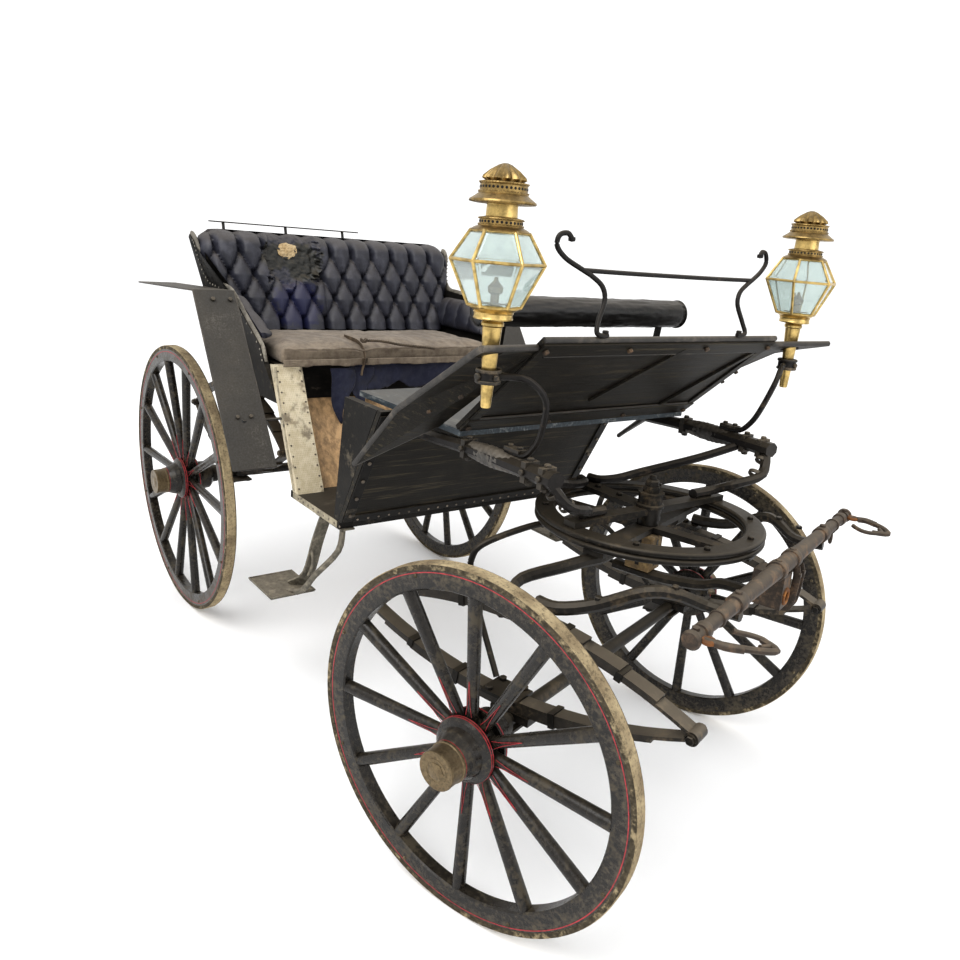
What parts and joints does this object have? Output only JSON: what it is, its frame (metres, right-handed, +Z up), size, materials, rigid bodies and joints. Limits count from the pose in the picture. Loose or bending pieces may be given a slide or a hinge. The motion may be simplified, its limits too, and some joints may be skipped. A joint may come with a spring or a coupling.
{
  "type": "horse drawn carriage",
  "caption": "Open four-wheeled horse-drawn carriage with a deep foot well, tufted seat, sloping dash, side lamps, elliptic springs and a steered fore-carriage.",
  "frame": {"origin": "on the ground below the middle of the carriage", "axes": "+X forward, +Y to the carriage's left, +Z up"},
  "size_m": [3.2297, 1.6328, 1.8414],
  "materials": {
    "wheel_paint": "painted, worn",
    "rubber_tyre": "dried mud",
    "dusty_iron": "dusty, rusty",
    "rusty_iron": "rusty",
    "black_iron": "worn paint",
    "dark_board": "weathered",
    "blue_grey_board": "worn paint",
    "cream_canvas": "flaking paint",
    "light_plywood": "bare",
    "tufted_leather": "worn",
    "seat_cloth": "faded",
    "black_leather": "worn",
    "lamp_brass": "polished, tarnished",
    "bevelled_glass": "clear",
    "mudguard_leather": "dusty"
  },
  "bodies": {
    "carriage_body": {"kingpin": "rusty_iron", "upper_turntable": "black_iron", "right_body_arm": "black_iron", "left_body_arm": "black_iron", "rear_axle": "dusty_iron", "rear_springs": "dusty_iron", "rear_body_irons": "black_iron", "floor": "dark_board", "right_pillar": "cream_canvas", "left_pillar": "cream_canvas", "right_front_panel": "blue_grey_board", "left_front_panel": "blue_grey_board", "front_wall": "dark_board", "riser_panel": "light_plywood", "seat_box": "dark_board", "right_seat_side": "dark_board", "left_seat_side": "dark_board", "seat_back_panel": "dark_board", "seat_back_rail": "black_iron", "seat_back_padding": "tufted_leather", "right_arm_pad": "tufted_leather", "left_arm_pad": "tufted_leather", "seat_cushion": "seat_cloth", "driver_board": "blue_grey_board", "dash_panel": "dark_board", "right_dash_wing": "dark_board", "left_dash_wing": "dark_board", "rein_rail": "black_iron", "backrest_roll": "black_leather", "backrest_stays": "black_iron", "right_lamp": "lamp_brass", "left_lamp": "lamp_brass", "lamp_glass": "bevelled_glass", "lamp_brackets": "black_iron", "right_mudguard": "mudguard_leather", "left_mudguard": "mudguard_leather", "right_step": "black_iron", "left_step": "black_iron"},
    "forecarriage": {"front_axle": "dusty_iron", "front_springs": "dusty_iron", "spring_horns": "black_iron", "lower_turntable": "black_iron", "futchells": "dusty_iron", "splinter_bar": "dusty_iron", "pole_socket": "dusty_iron", "trace_hooks": "rusty_iron"},
    "front_right_roller": {"front_right_wheel": "wheel_paint", "front_right_tyre": "rubber_tyre"},
    "front_left_roller": {"front_left_wheel": "wheel_paint", "front_left_tyre": "rubber_tyre"},
    "rear_right_roller": {"rear_right_wheel": "wheel_paint", "rear_right_tyre": "rubber_tyre"},
    "rear_left_roller": {"rear_left_wheel": "wheel_paint", "rear_left_tyre": "rubber_tyre"}
  },
  "joints": [
    {"name": "steering", "type": "hinge", "parent": "carriage_body", "child": "forecarriage", "pos_m": [0.935, 0, 0.93038], "axis": [0, 0, 1], "range_deg": [-61, 29]},
    {"name": "front_right_spin", "type": "hinge", "parent": "forecarriage", "child": "front_right_roller", "pos_m": [1.0421, -0.68189, 0.47038], "axis": [0.2754, -0.9603, -0.0436], "continuous": true},
    {"name": "front_left_spin", "type": "hinge", "parent": "forecarriage", "child": "front_left_roller", "pos_m": [0.66448, 0.63504, 0.47038], "axis": [-0.2754, 0.9603, -0.0436], "continuous": true},
    {"name": "rear_right_spin", "type": "hinge", "parent": "carriage_body", "child": "rear_right_roller", "pos_m": [-1.05, -0.685, 0.56529], "axis": [0, -0.999, -0.0436], "continuous": true},
    {"name": "rear_left_spin", "type": "hinge", "parent": "carriage_body", "child": "rear_left_roller", "pos_m": [-1.05, 0.685, 0.56529], "axis": [0, 0.999, -0.0436], "continuous": true}
  ]
}
